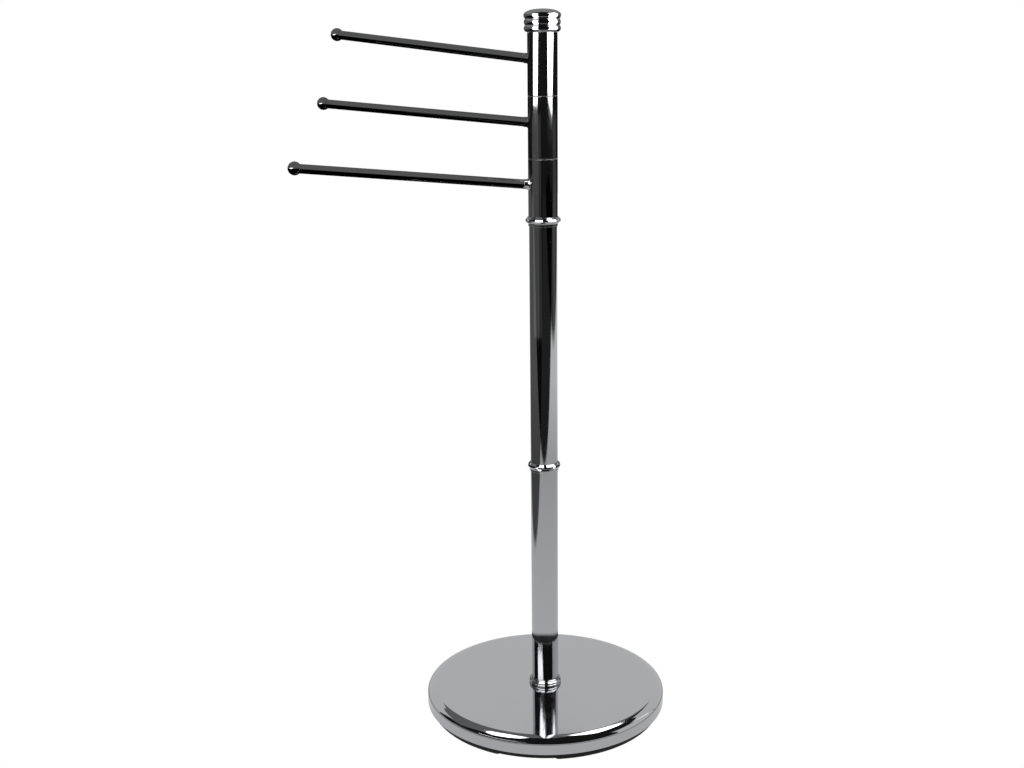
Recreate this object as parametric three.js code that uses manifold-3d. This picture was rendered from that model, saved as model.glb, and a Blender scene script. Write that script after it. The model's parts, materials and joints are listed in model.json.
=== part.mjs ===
// Standing rack: a weighted round base, a two-piece pole and three swivel arms.
// Millimetres, +Z up, origin on the pole's axis at floor level; the arms reach towards -X.

import * as THREE from 'three';
import * as BufferGeometryUtils from 'three/addons/utils/BufferGeometryUtils.js';
import Module from 'manifold-3d';

// ---------------------------------------------------------------- driving dimensions

const FIT = 0.3;                // gap between two pieces that are pushed together
const REST = 0.1;               // gap between two pieces that lie on each other

const BASE_TOP = 29;            // flat top of the base above the floor
const BASE_RADIUS = 145.3;
const BASE_SHOULDER = 11.5;       // width of the rounded shoulder
const SHOULDER_DROP = 7.8;
const COVER_BOTTOM = 9.3;
const COVER_WALL = 1.0;

const PAD_THICKNESS = 2.6;
const PAD_OUTER = 139.5;
const PAD_INNER = 115;
const PAD_COUNT = 4;
const PAD_GAP_DEG = 28;         // open angle between two pads
const PAD_TURN_DEG = -9;        // one gap lies this far round from the front

const TRAY_RADIUS = 141;
const TRAY_FLOOR = 2.2;
const TRAY_WALL = 2.2;
const TRAY_TOP = 15;
const BOSS_RADIUS = 7;
const SCREW_CIRCLE = 100;
const SCREW_COUNT = 4;
const SCREW_SHANK = 2.1;
const SCREW_HEAD = 4.2;
const SCREW_HEAD_HEIGHT = 2.6;
const SCREW_RECESS = 4.2;
const SCREW_LENGTH = 16;

const WEIGHT_RADIUS = 125;
const WEIGHT_THICKNESS = 8.2;

const STUD_RADIUS = 5;          // M10 threads, drawn plain
const STUD_GRIP = 22;           // length of thread inside an insert
const INSERT_LENGTH = 25;
const HEX_ACROSS_CORNERS = 18.5;
const HEX_HEIGHT = 6.4;
const BOLT_WASHER_RADIUS = 12;
const BOLT_WASHER_THICKNESS = 1.6;

const TUBE_RADIUS = 16;
const TUBE_WALL = 1.1;

const COLLAR_HEIGHT = 7.8;
const COLLAR_RADIUS = 19.5;

const RING_HEIGHT = 10.4;
const RING_LIP = 2.7;           // straight lip below the bead
const RING_CREST = 6.2;         // height of the bead's crest above the lip's foot
const RING_WEB = 1.6;           // floor between the two tube ends
const LOWER_RING_BOTTOM = 303.6;
const UPPER_RING_BOTTOM = 594.3;
const LOWER_RING_RADIUS = 19.3;
const UPPER_RING_RADIUS = 20.1;

const SLEEVE_RADIUS = 16.75;
const SLEEVE_WALL = 1.2;
const SLEEVE_LENGTH = 67.9;
const SLEEVE_GAP = 0.8;         // taken up by a nylon washer
const SLEEVE_BOTTOM = 601.4;    // lower end of the lowest sleeve
const WASHER_THICKNESS = 0.6;

const SPINDLE_RADIUS = 10;
const SPINDLE_RUNNING_FIT = 0.25; // at the corners; 0.05 remains at the middle of a facet
const SPINDLE_STUD = 4;         // M8 thread at the spindle's top
const SPINDLE_STUD_LENGTH = 14;
const TOP_NUT_RADIUS = 14;
const TOP_NUT_HEIGHT = 5;
const BUSH_LENGTH = 10;
const BUSH_RECESS = 0.3;
const TOP_BUSH_RECESS = 2;      // leaves room for the wave spring
const SPRING_HEIGHT = 1.5;      // flattened by the top nut

const CAP_HEIGHT = 24.8;
const CAP_DOME_RADIUS = 20.7;

const ARM_REACH = 277.2;        // pole axis to ball centre
const ARM_RADIUS = 5.25;
const ARM_WALL = 1.1;
const ARM_ABOVE_MIDDLE = 4.3;   // arm axis above the middle of its sleeve
const BALL_RADIUS = 7.6;
const SPIGOT_LENGTH = 12;
const FLARE_RADIUS = 6.9;
const FLARE_LENGTH = 5.5;
const ARM_SCREW_RADIUS = 2.5;
const ARM_SCREW_HEAD = 4.6;
const ARM_SCREW_HEAD_HEIGHT = 1.8;
const ARM_SCREW_START = 11.6;   // outer face of the head, from the pole's axis
const ARM_SCREW_END = 38;
const ARM_PLUG_LENGTH = 18;

// One row for each arm, top to bottom: turn back from -X, and rise of the arm, in degrees.
const ARMS = [
  { name: 'upper_arm', turn: 27.1, rise: 6.5 },
  { name: 'middle_arm', turn: 19.9, rise: 4.3 },
  { name: 'lower_arm', turn: -11.5, rise: 5.35 },
];

const BASE_FACETS = 48;
const POLE_FACETS = 28;
const INNER_FACETS = 16;
const ARM_FACETS = 14;

// ---------------------------------------------------------------- finishes

const finish = (color, roughness, metalness) => () => (
  new THREE.MeshStandardMaterial({ color, roughness, metalness })
);
const chrome = finish(0xb9bcc0, 0.08, 1);
const blackPlastic = finish(0x17181a, 0.55, 0);
const blackRubber = finish(0x101010, 0.85, 0);
const castIron = finish(0x3a3a3c, 0.7, 0.8);
const zincSteel = finish(0x9fa3a8, 0.35, 1);
const nylon = finish(0xe6e4dc, 0.5, 0);
const springSteel = finish(0x8b8f94, 0.3, 1);

// ---------------------------------------------------------------- solids

const wasm = await Module();
wasm.setup();

// Shares the vertices of a closed mesh, drops empty triangles and turns the faces outwards.
function weld(source) {
  const bare = source.clone();
  bare.deleteAttribute('normal');
  bare.deleteAttribute('uv');
  const merged = BufferGeometryUtils.mergeVertices(bare, 1e-4);
  const points = merged.getAttribute('position');
  const index = [];
  const a = new THREE.Vector3();
  const b = new THREE.Vector3();
  const c = new THREE.Vector3();
  let volume = 0;
  for (let i = 0; i < merged.index.count; i += 3) {
    const [p, q, r] = [0, 1, 2].map((k) => merged.index.getX(i + k));
    if (p === q || q === r || r === p) continue;
    index.push(p, q, r);
    a.fromBufferAttribute(points, p);
    b.fromBufferAttribute(points, q);
    c.fromBufferAttribute(points, r);
    volume += a.dot(b.cross(c));
  }
  if (volume < 0) index.reverse();
  merged.setIndex(index);
  merged.computeVertexNormals();
  return merged;
}

function toManifold(geometry) {
  const vertProperties = new Float32Array(geometry.getAttribute('position').array);
  const triVerts = new Uint32Array(geometry.index.array);
  return new wasm.Manifold(new wasm.Mesh({ numProp: 3, vertProperties, triVerts }));
}

function toGeometry(manifold) {
  const mesh = manifold.getMesh();
  const geometry = new THREE.BufferGeometry();
  geometry.setAttribute('position', new THREE.BufferAttribute(mesh.vertProperties, 3));
  geometry.setIndex(new THREE.BufferAttribute(mesh.triVerts, 1));
  return weld(geometry);
}

function cut(body, tools) {
  return toGeometry(tools.reduce((left, tool) => left.subtract(toManifold(tool)), toManifold(body)));
}

function join(body, others) {
  return toGeometry(others.reduce((whole, other) => whole.add(toManifold(other)), toManifold(body)));
}

// Turns a profile of [radius, height] points about +Z. The profile closes on itself.
function turned(profile, facets = POLE_FACETS) {
  const points = [...profile, profile[0]].map(([radius, height]) => new THREE.Vector2(radius, height));
  return weld(new THREE.LatheGeometry(points, facets).rotateX(Math.PI / 2));
}

function ring(inner, outer, bottom, top, facets = POLE_FACETS) {
  return turned([[inner, bottom], [outer, bottom], [outer, top], [inner, top]], facets);
}

function disc(radius, bottom, top, facets = POLE_FACETS) {
  return turned([[0, bottom], [radius, bottom], [radius, top], [0, top]], facets);
}

// Points of a quarter of an ellipse from angle `from` to `to`, measured from +radius.
function arc(centre, reach, from, to, steps) {
  return Array.from({ length: steps + 1 }, (_, i) => {
    const angle = THREE.MathUtils.degToRad(from + (to - from) * i / steps);
    return [centre[0] + reach[0] * Math.cos(angle), centre[1] + reach[1] * Math.sin(angle)];
  });
}

function piece(name, geometry, material) {
  const mesh = new THREE.Mesh(geometry, material());
  mesh.name = name;
  return mesh;
}

// ---------------------------------------------------------------- heights that follow

const TRAY_BOTTOM = PAD_THICKNESS;
const WEIGHT_TOP = BASE_TOP - COVER_WALL - REST;
const WEIGHT_BOTTOM = WEIGHT_TOP - WEIGHT_THICKNESS;
const TUBE_BORE = TUBE_RADIUS - TUBE_WALL;
const LOWER_TUBE_BOTTOM = BASE_TOP + REST;
const LOWER_TUBE_TOP = LOWER_RING_BOTTOM + RING_CREST - RING_WEB - REST;
const MIDDLE_TUBE_BOTTOM = LOWER_RING_BOTTOM + RING_CREST + REST;
const UPPER_WEB_TOP = UPPER_RING_BOTTOM + RING_CREST - RING_WEB / 2;
const MIDDLE_TUBE_TOP = UPPER_WEB_TOP - RING_WEB - REST;
const SLEEVE_PITCH = SLEEVE_LENGTH + SLEEVE_GAP;
const STACK_TOP = SLEEVE_BOTTOM + 2 * SLEEVE_PITCH + SLEEVE_LENGTH;
const SPINDLE_TOP = STACK_TOP + 1.3;
const CAP_BOTTOM = STACK_TOP + 0.4;
const SLEEVE_BORE = SLEEVE_RADIUS - SLEEVE_WALL;
const BUSH_BORE = SPINDLE_RADIUS + SPINDLE_RUNNING_FIT;

// ---------------------------------------------------------------- base

function baseCover() {
  const flat = BASE_RADIUS - BASE_SHOULDER;
  const shoulderFoot = BASE_TOP - SHOULDER_DROP;
  const hole = STUD_RADIUS + FIT;
  const outside = arc([flat, shoulderFoot], [BASE_SHOULDER, SHOULDER_DROP], 90, 0, 5);
  const inner = [BASE_SHOULDER - COVER_WALL, SHOULDER_DROP - COVER_WALL];
  const inside = arc([flat, shoulderFoot], inner, 0, 90, 3);
  return turned([
    [hole, BASE_TOP],
    ...outside,
    [BASE_RADIUS, COVER_BOTTOM],
    [BASE_RADIUS - COVER_WALL, COVER_BOTTOM],
    ...inside,
    [hole, BASE_TOP - COVER_WALL],
  ], BASE_FACETS);
}

function screwPlaces() {
  return Array.from({ length: SCREW_COUNT }, (_, i) => {
    const angle = (i + 0.5) * 2 * Math.PI / SCREW_COUNT;
    return [SCREW_CIRCLE * Math.cos(angle), SCREW_CIRCLE * Math.sin(angle)];
  });
}

function atScrews(geometry) {
  return screwPlaces().map(([x, y]) => geometry.clone().translate(x, y, 0));
}

function baseTray() {
  const floorTop = TRAY_BOTTOM + TRAY_FLOOR;
  const dish = turned([
    [0, TRAY_BOTTOM],
    [TRAY_RADIUS, TRAY_BOTTOM],
    [TRAY_RADIUS, TRAY_TOP],
    [TRAY_RADIUS - TRAY_WALL, TRAY_TOP],
    [TRAY_RADIUS - TRAY_WALL, floorTop],
    [0, floorTop],
  ], BASE_FACETS);
  const bosses = atScrews(disc(BOSS_RADIUS, TRAY_BOTTOM + TRAY_FLOOR / 2, WEIGHT_BOTTOM - REST, ARM_FACETS));
  const clearance = disc(SCREW_SHANK + FIT, 0, WEIGHT_BOTTOM + 1, ARM_FACETS);
  const recess = disc(SCREW_HEAD + FIT, 0, TRAY_BOTTOM + SCREW_RECESS, ARM_FACETS);
  return cut(join(dish, bosses), [...atScrews(clearance), ...atScrews(recess)]);
}

function trayScrew() {
  const seat = TRAY_BOTTOM + SCREW_RECESS + REST;
  return turned([
    [0, seat - SCREW_HEAD_HEIGHT],
    [SCREW_HEAD, seat - SCREW_HEAD_HEIGHT],
    [SCREW_HEAD, seat - REST * 2],
    [SCREW_SHANK, seat - REST * 2],
    [SCREW_SHANK, seat + SCREW_LENGTH],
    [0, seat + SCREW_LENGTH],
  ], ARM_FACETS);
}

function baseWeight() {
  const plate = ring(STUD_RADIUS + FIT, WEIGHT_RADIUS, WEIGHT_BOTTOM, WEIGHT_TOP, BASE_FACETS);
  const screwTip = TRAY_BOTTOM + SCREW_RECESS + SCREW_LENGTH + REST + FIT;
  return cut(plate, atScrews(disc(SCREW_SHANK + FIT, 0, screwTip, ARM_FACETS)));
}

function footPad(index) {
  const sweep = 2 * Math.PI / PAD_COUNT;
  const gap = THREE.MathUtils.degToRad(PAD_GAP_DEG);
  const front = THREE.MathUtils.degToRad(-90 + PAD_TURN_DEG);
  const start = front + index * sweep + gap / 2;
  const end = start + sweep - gap;
  const shape = new THREE.Shape();
  shape.absarc(0, 0, PAD_OUTER, start, end, false);
  shape.absarc(0, 0, PAD_INNER, end, start, true);
  return weld(new THREE.ExtrudeGeometry(shape, {
    depth: PAD_THICKNESS - REST / 2,
    bevelEnabled: false,
    curveSegments: 8,
  }));
}

function baseBolt() {
  const seat = WEIGHT_BOTTOM - BOLT_WASHER_THICKNESS - 2 * REST;
  const head = disc(HEX_ACROSS_CORNERS / 2, seat - HEX_HEIGHT, seat, 6);
  const shank = disc(STUD_RADIUS, seat - HEX_HEIGHT / 2, BASE_TOP + STUD_GRIP, INNER_FACETS);
  return join(head, [shank]);
}

function boltWasher() {
  const top = WEIGHT_BOTTOM - REST;
  return ring(STUD_RADIUS + FIT, BOLT_WASHER_RADIUS, top - BOLT_WASHER_THICKNESS, top, INNER_FACETS);
}

// ---------------------------------------------------------------- pole

// A slim neck over two rounded ridges, the lower one the taller.
function footCollar() {
  const bore = TUBE_RADIUS + FIT;
  const z = BASE_TOP + REST;
  const groove = COLLAR_RADIUS - 0.9;
  return turned([
    [bore, z],
    [COLLAR_RADIUS - 0.5, z],
    [COLLAR_RADIUS, z + 1.1],
    [COLLAR_RADIUS - 0.2, z + 2.2],
    [groove, z + 3],
    [COLLAR_RADIUS - 0.3, z + 3.8],
    [COLLAR_RADIUS - 0.4, z + 4.8],
    [COLLAR_RADIUS - 1.2, z + 5.9],
    [bore + 0.9, z + 6.2],
    [bore + 0.9, z + 7.3],
    [bore + 0.4, z + COLLAR_HEIGHT],
    [bore, z + COLLAR_HEIGHT],
  ]);
}

// A pointed bead over a straight lip. A web inside keeps the two tube ends apart.
function jointRing(bottom, crestRadius, upperBore, webTop) {
  const lowerBore = TUBE_RADIUS + FIT;
  const lip = lowerBore + 0.6;
  const webHole = STUD_RADIUS + FIT;
  const crest = bottom + RING_CREST;
  const top = bottom + RING_HEIGHT;
  return turned([
    [lowerBore, bottom],
    [lip, bottom],
    [lip, bottom + RING_LIP],
    [crestRadius - 0.8, crest - 1.6],
    [crestRadius, crest],
    [crestRadius - 0.6, crest + 1.8],
    [upperBore + 0.4, top],
    [upperBore, top],
    [upperBore, webTop],
    [webHole, webTop],
    [webHole, webTop - RING_WEB],
    [lowerBore, webTop - RING_WEB],
  ]);
}

function tube(bottom, top) {
  return ring(TUBE_BORE, TUBE_RADIUS, bottom, top);
}

function insert(bottom, top) {
  return ring(STUD_RADIUS + FIT, TUBE_BORE - FIT, bottom, top, INNER_FACETS);
}

function jointStud() {
  return disc(STUD_RADIUS, LOWER_TUBE_TOP - STUD_GRIP, MIDDLE_TUBE_BOTTOM + STUD_GRIP, INNER_FACETS);
}

// A round post with an M10 stud below and an M8 stud on top.
function spindle() {
  const shoulder = UPPER_WEB_TOP + REST;
  return turned([
    [0, shoulder - STUD_GRIP],
    [STUD_RADIUS, shoulder - STUD_GRIP],
    [STUD_RADIUS, shoulder],
    [SPINDLE_RADIUS, shoulder],
    [SPINDLE_RADIUS, SPINDLE_TOP],
    [SPINDLE_STUD, SPINDLE_TOP],
    [SPINDLE_STUD, SPINDLE_TOP + SPINDLE_STUD_LENGTH],
    [0, SPINDLE_TOP + SPINDLE_STUD_LENGTH],
  ], INNER_FACETS);
}

function spacerWasher(middle) {
  const half = WASHER_THICKNESS / 2;
  return ring(BUSH_BORE, SLEEVE_RADIUS - 0.5, middle - half, middle + half, INNER_FACETS);
}

function waveSpring() {
  const bottom = STACK_TOP - TOP_BUSH_RECESS + FIT;
  return ring(BUSH_BORE + FIT, SLEEVE_BORE - 2 * FIT, bottom, bottom + SPRING_HEIGHT, INNER_FACETS);
}

function topWasher() {
  return ring(BUSH_BORE, SLEEVE_BORE - 2 * FIT, STACK_TOP - 0.1, SPINDLE_TOP - REST, INNER_FACETS);
}

function topNut() {
  const bottom = SPINDLE_TOP + REST;
  const hexagon = disc(TOP_NUT_RADIUS, bottom, bottom + TOP_NUT_HEIGHT, 6);
  return cut(hexagon, [disc(SPINDLE_STUD + FIT, bottom - 1, bottom + TOP_NUT_HEIGHT + 1, INNER_FACETS)]);
}

// Domed cap with three rounded ridges, hollow below for the nut and bored for the stud.
function topCap() {
  const bottom = CAP_BOTTOM;
  const top = CAP_BOTTOM + CAP_HEIGHT;
  const domeEdge = bottom + 17.8;
  const dome = arc([0, domeEdge + 0.9], [CAP_DOME_RADIUS - 0.4, top - domeEdge - 0.9], 8, 90, 5);
  return turned([
    [15.8, bottom],
    [17.3, bottom],
    [19.6, bottom + 2.4],
    [20.5, bottom + 4.1],
    [19.9, bottom + 5.9],
    [18.4, bottom + 7.6],
    [19.9, bottom + 9.4],
    [20.1, bottom + 11],
    [19.6, bottom + 12.5],
    [19, bottom + 14.2],
    [20.3, bottom + 16],
    [CAP_DOME_RADIUS, domeEdge],
    ...dome,
    [0, bottom + 16],
    [SPINDLE_STUD + FIT, bottom + 16],
    [SPINDLE_STUD + FIT, bottom + 7.5],
    [15.8, bottom + 7.5],
  ]);
}

// ---------------------------------------------------------------- arms

const sleeveBottom = (level) => SLEEVE_BOTTOM + (ARMS.length - 1 - level) * SLEEVE_PITCH;

// Lays a solid turned about +Z along the arm's own axis, and lifts it to the arm's height.
function alongArm(geometry, arm, height) {
  const rise = THREE.MathUtils.degToRad(arm.rise);
  const turn = THREE.MathUtils.degToRad(180 - arm.turn);
  return geometry.clone().rotateY(Math.PI / 2 - rise).rotateZ(turn).translate(0, 0, height);
}

function swivelSleeve(arm, bottom, armHeight) {
  const shell = ring(SLEEVE_BORE, SLEEVE_RADIUS, bottom, bottom + SLEEVE_LENGTH);
  const hole = alongArm(disc(ARM_SCREW_RADIUS + FIT, 12, 20, ARM_FACETS), arm, armHeight);
  return cut(shell, [hole]);
}

function bush(bottom) {
  return ring(BUSH_BORE, SLEEVE_BORE - FIT, bottom, bottom + BUSH_LENGTH, INNER_FACETS);
}

// A flared foot whose end is hollowed to sit on the sleeve.
function rootFlare(arm, armHeight) {
  const start = SLEEVE_RADIUS - 3;
  const end = SLEEVE_RADIUS + FLARE_LENGTH;
  const flare = turned([
    [ARM_SCREW_RADIUS + FIT, start],
    [FLARE_RADIUS + 0.6, start],
    [FLARE_RADIUS, SLEEVE_RADIUS + 0.6],
    [ARM_RADIUS + 0.8, SLEEVE_RADIUS + 2.2],
    [ARM_RADIUS + 0.3, end],
    [ARM_SCREW_RADIUS + FIT, end],
  ], ARM_FACETS);
  const pole = disc(SLEEVE_RADIUS + FIT, armHeight - 20, armHeight + 20, POLE_FACETS * 2);
  return cut(alongArm(flare, arm, armHeight), [pole]);
}

function armScrew() {
  const neck = ARM_SCREW_START + ARM_SCREW_HEAD_HEIGHT;
  return turned([
    [0, ARM_SCREW_START],
    [ARM_SCREW_HEAD, ARM_SCREW_START],
    [ARM_SCREW_HEAD, neck],
    [ARM_SCREW_RADIUS, neck],
    [ARM_SCREW_RADIUS, ARM_SCREW_END],
    [0, ARM_SCREW_END],
  ], ARM_FACETS);
}

function armPlug() {
  const start = SLEEVE_RADIUS + FLARE_LENGTH + FIT;
  return ring(ARM_SCREW_RADIUS + FIT, ARM_RADIUS - ARM_WALL - FIT / 2, start, start + ARM_PLUG_LENGTH, ARM_FACETS);
}

const ballSeat = ARM_REACH - Math.sqrt(BALL_RADIUS ** 2 - ARM_RADIUS ** 2);
const tubeEnd = ballSeat - REST;

function armTube() {
  const start = SLEEVE_RADIUS + FLARE_LENGTH + FIT;
  return ring(ARM_RADIUS - ARM_WALL, ARM_RADIUS, start, tubeEnd, ARM_FACETS);
}

// A ball with a flat seat against the tube's end and a spigot pushed into the tube.
function armBall() {
  const spigot = ARM_RADIUS - ARM_WALL - FIT / 2;
  const mouth = THREE.MathUtils.radToDeg(Math.acos(ARM_RADIUS / BALL_RADIUS));
  const round = arc([0, ARM_REACH], [BALL_RADIUS, BALL_RADIUS], -mouth, 90, 7);
  return turned([
    [0, tubeEnd - SPIGOT_LENGTH],
    [spigot, tubeEnd - SPIGOT_LENGTH],
    [spigot, ballSeat],
    ...round,
  ], ARM_FACETS);
}

function swivelArm(arm, level) {
  const bottom = sleeveBottom(level);
  const armHeight = bottom + SLEEVE_LENGTH / 2 + ARM_ABOVE_MIDDLE;
  const lay = (geometry) => alongArm(geometry, arm, armHeight);
  const upperBush = bottom + SLEEVE_LENGTH - BUSH_LENGTH - (level === 0 ? TOP_BUSH_RECESS : BUSH_RECESS);
  const body = new THREE.Group();
  body.add(piece(`${arm.name}_sleeve`, swivelSleeve(arm, bottom, armHeight), chrome));
  body.add(piece(`${arm.name}_lower_bush`, bush(bottom + BUSH_RECESS), nylon));
  body.add(piece(`${arm.name}_upper_bush`, bush(upperBush), nylon));
  body.add(piece(`${arm.name}_screw`, lay(armScrew()), zincSteel));
  body.add(piece(`${arm.name}_root_flare`, rootFlare(arm, armHeight), chrome));
  body.add(piece(`${arm.name}_plug`, lay(armPlug()), zincSteel));
  body.add(piece(`${arm.name}_tube`, lay(armTube()), chrome));
  body.add(piece(`${arm.name}_ball`, lay(armBall()), chrome));
  return body;
}

// ---------------------------------------------------------------- assembly

const group = new THREE.Group();

for (let i = 0; i < PAD_COUNT; i += 1) {
  group.add(piece(`foot_pad_${i + 1}`, footPad(i), blackRubber));
}
atScrews(trayScrew()).forEach((screw, i) => {
  group.add(piece(`tray_screw_${i + 1}`, screw, zincSteel));
});
group.add(piece('base_tray', baseTray(), blackPlastic));
group.add(piece('base_weight', baseWeight(), castIron));
group.add(piece('base_cover', baseCover(), chrome));
group.add(piece('base_bolt', baseBolt(), zincSteel));
group.add(piece('base_bolt_washer', boltWasher(), zincSteel));
group.add(piece('foot_collar', footCollar(), chrome));

const lowerInsertBottom = LOWER_TUBE_BOTTOM + REST;
group.add(piece('lower_tube', tube(LOWER_TUBE_BOTTOM, LOWER_TUBE_TOP), chrome));
group.add(piece('lower_tube_foot_insert', insert(lowerInsertBottom, lowerInsertBottom + INSERT_LENGTH), zincSteel));
group.add(piece('lower_tube_top_insert', insert(LOWER_TUBE_TOP - INSERT_LENGTH, LOWER_TUBE_TOP), zincSteel));
group.add(piece('lower_joint_ring', jointRing(
  LOWER_RING_BOTTOM, LOWER_RING_RADIUS, TUBE_RADIUS + FIT, LOWER_RING_BOTTOM + RING_CREST,
), chrome));
group.add(piece('joint_stud', jointStud(), zincSteel));

group.add(piece('middle_tube', tube(MIDDLE_TUBE_BOTTOM, MIDDLE_TUBE_TOP), chrome));
group.add(piece('middle_tube_foot_insert', insert(MIDDLE_TUBE_BOTTOM, MIDDLE_TUBE_BOTTOM + INSERT_LENGTH), zincSteel));
group.add(piece('middle_tube_top_insert', insert(MIDDLE_TUBE_TOP - INSERT_LENGTH, MIDDLE_TUBE_TOP), zincSteel));
group.add(piece('upper_joint_ring', jointRing(
  UPPER_RING_BOTTOM, UPPER_RING_RADIUS, SLEEVE_RADIUS + FIT, UPPER_WEB_TOP,
), chrome));

group.add(piece('spindle', spindle(), zincSteel));
group.add(piece('bottom_thrust_washer', spacerWasher((UPPER_WEB_TOP + SLEEVE_BOTTOM) / 2), nylon));
ARMS.slice(1).forEach((arm, i) => {
  const seam = sleeveBottom(i) - SLEEVE_GAP / 2;
  group.add(piece(`sleeve_washer_${i + 1}`, spacerWasher(seam), nylon));
});
group.add(piece('wave_spring', waveSpring(), springSteel));
group.add(piece('top_washer', topWasher(), zincSteel));
group.add(piece('top_nut', topNut(), zincSteel));
group.add(piece('top_cap', topCap(), chrome));

ARMS.forEach((arm, level) => group.add(swivelArm(arm, level)));

export default group;
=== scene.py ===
"""Looks of a free-standing chromed rack with a weighted round base, a jointed pole and swivel arms.

Heights and radii below are in millimetres. Everything is built where it stands, +Z up, with the
pole on the Z axis and the floor at height 0.
"""

import json
import math

import bpy
import numpy as np
from mathutils import Matrix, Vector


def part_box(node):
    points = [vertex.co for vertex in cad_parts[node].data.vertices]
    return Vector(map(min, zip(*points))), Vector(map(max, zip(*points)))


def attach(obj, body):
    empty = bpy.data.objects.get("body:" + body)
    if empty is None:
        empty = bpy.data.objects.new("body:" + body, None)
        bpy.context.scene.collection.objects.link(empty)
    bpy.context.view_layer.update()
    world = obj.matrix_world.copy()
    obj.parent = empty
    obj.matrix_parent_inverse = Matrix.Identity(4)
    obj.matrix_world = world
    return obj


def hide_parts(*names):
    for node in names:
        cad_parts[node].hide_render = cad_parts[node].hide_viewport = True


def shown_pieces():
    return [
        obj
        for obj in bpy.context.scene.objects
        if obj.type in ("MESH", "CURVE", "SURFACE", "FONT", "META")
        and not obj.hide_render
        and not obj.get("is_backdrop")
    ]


bl_info = {
    "name": "Swivel-arm rack",
    "version": (1, 0, 0),
    "blender": (4, 5, 0),
    "location": "3D View > Sidebar > Rack",
    "description": "Builds the visible pieces and finishes of a chromed rack with swivel arms",
    "category": "Object",
}

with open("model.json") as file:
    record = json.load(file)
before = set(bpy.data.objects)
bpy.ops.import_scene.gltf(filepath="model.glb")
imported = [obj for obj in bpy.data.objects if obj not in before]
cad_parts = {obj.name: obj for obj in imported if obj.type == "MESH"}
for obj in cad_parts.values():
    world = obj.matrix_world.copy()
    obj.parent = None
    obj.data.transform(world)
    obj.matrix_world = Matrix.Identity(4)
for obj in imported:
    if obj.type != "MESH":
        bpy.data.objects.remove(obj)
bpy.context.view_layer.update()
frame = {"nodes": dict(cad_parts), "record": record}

MM = 0.001


def lowest(node):
    """Height of a CAD node's lowest point, in mm."""
    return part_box(node)[0].z / MM


def highest(node):
    """Height of a CAD node's highest point, in mm."""
    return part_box(node)[1].z / MM


def reach_of(node):
    """Largest distance of a round CAD node from the pole's axis, in mm."""
    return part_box(node)[1].x / MM


# ------------------------------------------------------------------ fixed sizes, in mm

COVER_WALL = 1.0
SHOULDER_WIDTH = 11.5
SHOULDER_DROP = 7.8
BOLT_HOLE = 5.3
TRAY_FLOOR = 2.2
TRAY_WALL = 2.2
TRAY_HEIGHT = 12.4
SCREW_CIRCLE = 100.0
BOSS_RADIUS = 8.0
BOSS_DEPTH = 8.0
SCREW_RECESS_RADIUS = 4.5
SCREW_RECESS_DEPTH = 4.2
PAD_INNER = 115.0
PAD_OUTER = 139.5
PAD_GAP = math.radians(28)
PAD_TURN = math.radians(-9)
TUBE_WALL = 1.1
SLEEVE_WALL = 1.2
RING_CREST = 6.2
RING_LIP = 2.7
RING_WEB = 1.6
FIT = 0.3
WASHER_BORE = 10.25
SEAM_DEPTH = 0.45               # how far the washers stay inside the sleeves' skin
CAP_BORE = 15.8
CAP_ROOM = 7.5                  # height of the hollow in the cap
CAP_SCREW = 4.3
CAP_SCREW_TOP = 16.0
CAP_EDGE = 17.8                 # where the ridges end and the dome begins
ARM_WALL = 1.1
ARM_REACH = 277.2
ARM_ABOVE_MIDDLE = 4.3
FLARE_LENGTH = 5.5
FLARE_BORE = 2.8
FLARE_RADIUS = 6.9
SPIGOT_LENGTH = 12.0

# Arm, degrees turned back from -X, degrees it rises.
ARMS = (("upper_arm", 27.1, 6.5), ("middle_arm", 19.9, 4.3), ("lower_arm", -11.5, 5.35))

BASE_TURNS = 320
POLE_TURNS = 160
ARM_TURNS = 72
ARC_STEP = math.radians(9)


# ------------------------------------------------------------------ what a user may change


class RackSizes(bpy.types.PropertyGroup):
    """Sizes of the rack's visible pieces."""

    base_radius: bpy.props.FloatProperty(
        name="Base radius", description="Radius of the round base cover",
        default=reach_of("base_cover") * MM, min=0.1, unit="LENGTH", subtype="DISTANCE")
    pole_radius: bpy.props.FloatProperty(
        name="Pole radius", description="Radius of the two plain tubes of the pole",
        default=reach_of("lower_tube") * MM, min=0.01, unit="LENGTH", subtype="DISTANCE")
    sleeve_radius: bpy.props.FloatProperty(
        name="Sleeve radius", description="Radius of the sleeves that turn with the arms",
        default=reach_of("upper_arm_sleeve") * MM, min=0.01, unit="LENGTH", subtype="DISTANCE")
    arm_radius: bpy.props.FloatProperty(
        name="Arm radius", description="Radius of an arm's tube",
        default=0.00525, min=0.003, unit="LENGTH", subtype="DISTANCE")
    ball_radius: bpy.props.FloatProperty(
        name="Ball radius", description="Radius of the ball at an arm's end",
        default=0.0076, min=0.005, unit="LENGTH", subtype="DISTANCE")
    edge_rounding: bpy.props.FloatProperty(
        name="Edge rounding", description="Radius of the broken edges of tubes and sleeves",
        default=0.0003, min=0.0001, unit="LENGTH", subtype="DISTANCE")


class RackFinishes(bpy.types.PropertyGroup):
    """Colours and polish of the rack's finishes."""

    chrome_colour: bpy.props.FloatVectorProperty(
        name="Chrome", description="Colour that the chrome plating gives to what it mirrors",
        default=(0.545, 0.55, 0.565), min=0, max=1, subtype="COLOR")
    chrome_roughness: bpy.props.FloatProperty(
        name="Chrome roughness", description="Roughness of clean plating between its hairlines",
        default=0.035, min=0, max=1, subtype="FACTOR")
    plastic_colour: bpy.props.FloatVectorProperty(
        name="Tray plastic", description="Colour of the moulded tray",
        default=(0.006, 0.006, 0.0065), min=0, max=1, subtype="COLOR")


# ------------------------------------------------------------------ shapes


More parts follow.
